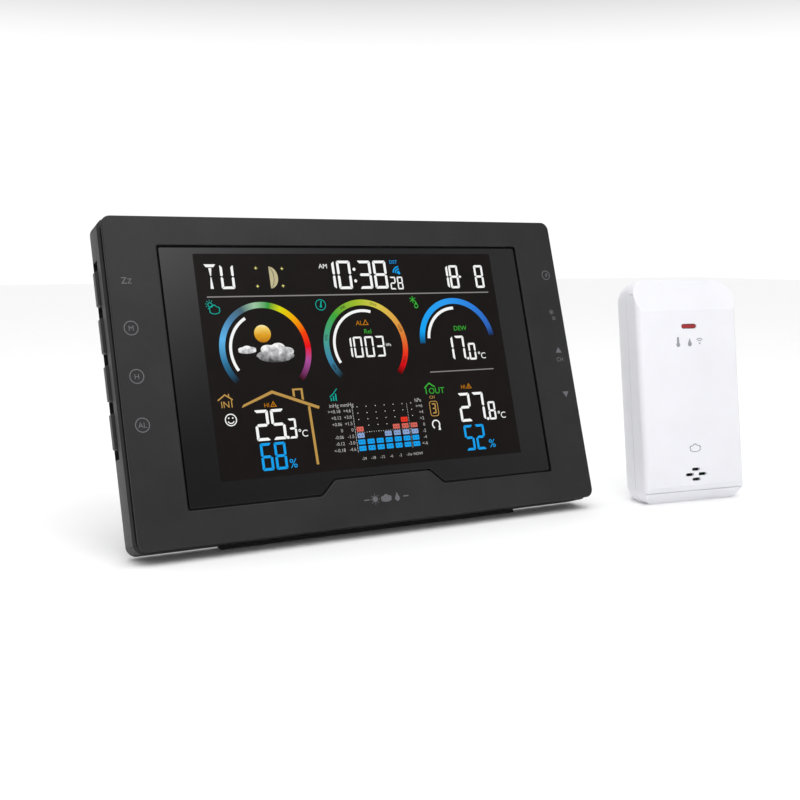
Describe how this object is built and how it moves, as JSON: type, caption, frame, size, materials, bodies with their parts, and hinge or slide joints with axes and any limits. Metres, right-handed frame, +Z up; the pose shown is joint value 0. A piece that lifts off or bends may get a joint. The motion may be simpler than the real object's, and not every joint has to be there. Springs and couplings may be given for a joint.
{
  "type": "home weather station",
  "caption": "Leaning desk console with a colour display, side keys and a fold-out stand, with its wireless outdoor temperature and humidity sensor.",
  "frame": {"origin": "middle of the console's long rubber foot, on the table", "axes": "+X to the console's right as a reader sees it, +Y from the display towards the back, +Z up"},
  "size_m": [0.3175, 0.0762, 0.1397],
  "materials": {
    "case_black": "fine spark-eroded texture, black ABS",
    "key_black": "satin black ABS",
    "lens_black": "polished smoked acrylic with a black printed border",
    "inner_black": "plain black plastic",
    "foam_tape": "black foam tape",
    "lcd_glass": "dark glass with polariser",
    "white_film": "white diffusing film",
    "clear_acrylic": "polished acrylic light guide",
    "led_strip": "white circuit strip with LEDs",
    "frame_grey": "light grey moulded frame",
    "steel": "zinc-plated steel",
    "gold_contact": "plated spring brass",
    "ribbon_amber": "polyimide ribbon",
    "pcb_green": "green solder mask on glass-epoxy board",
    "pcb_blue": "blue solder mask on glass-epoxy board",
    "chip_epoxy": "black epoxy",
    "sensor_chip": "white vented sensor body",
    "holder_ivory": "ivory nylon",
    "rubber_black": "soft black rubber",
    "rubber_grey": "grey silicone rubber",
    "button_grey": "grey silicone button",
    "sensor_white": "satin white ABS",
    "led_red": "tinted clear red plastic",
    "led_clear": "clear epoxy",
    "cell_jacket": "printed foil jacket"
  },
  "bodies": {
    "console": {"front_bezel": "case_black", "display_lens": "lens_black", "lens_tape": "foam_tape", "lcd_panel": "lcd_glass", "diffuser_sheet": "white_film", "light_guide": "clear_acrylic", "led_strip": "led_strip", "lcd_frame": "frame_grey", "frame_screws": "steel", "lcd_ribbon": "ribbon_amber", "main_board": "pcb_green", "board_screws": "steel", "chip_blob": "chip_epoxy", "radio_module": "pcb_blue", "console_antenna": "gold_contact", "buzzer": "inner_black", "pressure_sensor": "steel", "indoor_sensor": "sensor_chip", "key_boards": "pcb_green", "tact_switches": "steel", "rear_cover": "case_black", "case_screws": "steel", "foot_strip": "rubber_black", "dc_jack": "inner_black", "coin_holder": "holder_ivory", "coin_cell": "steel", "coin_contact": "gold_contact", "light_switch": "steel", "stand_pin": "steel"},
    "key_snooze": {"key_snooze": "key_black"},
    "key_mode": {"key_mode": "key_black"},
    "key_history": {"key_history": "key_black"},
    "key_alert": {"key_alert": "key_black"},
    "key_pressure": {"key_pressure": "key_black"},
    "key_index": {"key_index": "key_black"},
    "key_channel": {"key_channel": "key_black"},
    "key_down": {"key_down": "key_black"},
    "light_slider": {"light_slider": "inner_black"},
    "reset_button": {"reset_button": "button_grey"},
    "coin_door": {"coin_door": "case_black"},
    "stand": {"stand": "case_black", "stand_pad": "rubber_black"},
    "sensor": {"sensor_front": "sensor_white", "sensor_rear": "sensor_white", "sensor_seal": "rubber_grey", "sensor_screws": "steel", "led_window": "led_red", "status_led": "led_clear", "sensor_board": "pcb_green", "humidity_chip": "sensor_chip", "sensor_antenna": "gold_contact", "aa_cells": "cell_jacket", "cell_contacts": "steel", "channel_switch": "steel", "prop_pin": "steel"},
    "battery_door": {"battery_door": "sensor_white", "door_screw": "steel"},
    "channel_slider": {"channel_slider": "inner_black"},
    "pair_button": {"pair_button": "button_grey"},
    "prop_leg": {"prop_leg": "sensor_white"}
  },
  "joints": [
    {"name": "key_snooze_press", "type": "slide", "parent": "console", "child": "key_snooze", "axis": [1, 0, 0], "range_m": [0, 0.0006], "stiffness_N_per_m": 400, "springref_m": -0.0005},
    {"name": "key_mode_press", "type": "slide", "parent": "console", "child": "key_mode", "axis": [1, 0, 0], "range_m": [0, 0.0006], "stiffness_N_per_m": 400, "springref_m": -0.0005},
    {"name": "key_history_press", "type": "slide", "parent": "console", "child": "key_history", "axis": [1, 0, 0], "range_m": [0, 0.0006], "stiffness_N_per_m": 400, "springref_m": -0.0005},
    {"name": "key_alert_press", "type": "slide", "parent": "console", "child": "key_alert", "axis": [1, 0, 0], "range_m": [0, 0.0006], "stiffness_N_per_m": 400, "springref_m": -0.0005},
    {"name": "key_pressure_press", "type": "slide", "parent": "console", "child": "key_pressure", "axis": [-1, 0, 0], "range_m": [0, 0.0006], "stiffness_N_per_m": 400, "springref_m": -0.0005},
    {"name": "key_index_press", "type": "slide", "parent": "console", "child": "key_index", "axis": [-1, 0, 0], "range_m": [0, 0.0006], "stiffness_N_per_m": 400, "springref_m": -0.0005},
    {"name": "key_channel_press", "type": "slide", "parent": "console", "child": "key_channel", "axis": [-1, 0, 0], "range_m": [0, 0.0006], "stiffness_N_per_m": 400, "springref_m": -0.0005},
    {"name": "key_down_press", "type": "slide", "parent": "console", "child": "key_down", "axis": [-1, 0, 0], "range_m": [0, 0.0006], "stiffness_N_per_m": 400, "springref_m": -0.0005},
    {"name": "reset_press", "type": "slide", "parent": "console", "child": "reset_button", "axis": [0, -0.9537, 0.3007], "range_m": [0, 0.0006], "stiffness_N_per_m": 400, "springref_m": -0.0005},
    {"name": "light_slide", "type": "slide", "parent": "console", "child": "light_slider", "axis": [1, 0, 0], "range_m": [0, 0.004]},
    {"name": "coin_door_turn", "type": "hinge", "parent": "console", "child": "coin_door", "pos_m": [0, 0.03724, 0.09482], "axis": [0, 0.9537, -0.3007], "range_deg": [0, 90]},
    {"name": "stand_fold", "type": "hinge", "parent": "console", "child": "stand", "pos_m": [0, 0.02676, 0.06457], "axis": [1, 0, 0], "range_deg": [-32, 0]},
    {"name": "sensor_lift", "type": "slide", "parent": "console", "child": "sensor", "axis": [0, 0, 1], "range_m": [0, 0.1]},
    {"name": "battery_door_pull", "type": "slide", "parent": "sensor", "child": "battery_door", "axis": [0.1207, 0.9829, -0.1392], "range_m": [0, 0.025]},
    {"name": "channel_slide", "type": "slide", "parent": "sensor", "child": "channel_slider", "axis": [0.9925, -0.1219, 0], "range_m": [0, 0.004]},
    {"name": "pair_press", "type": "slide", "parent": "sensor", "child": "pair_button", "axis": [-0.1207, -0.9829, 0.1392], "range_m": [0, 0.0005], "stiffness_N_per_m": 400, "springref_m": -0.0005},
    {"name": "prop_fold", "type": "hinge", "parent": "sensor", "child": "prop_leg", "pos_m": [0.17262, 0.00047, 0.02299], "axis": [0.9925, -0.1219, 0], "range_deg": [-20, 0]}
  ]
}
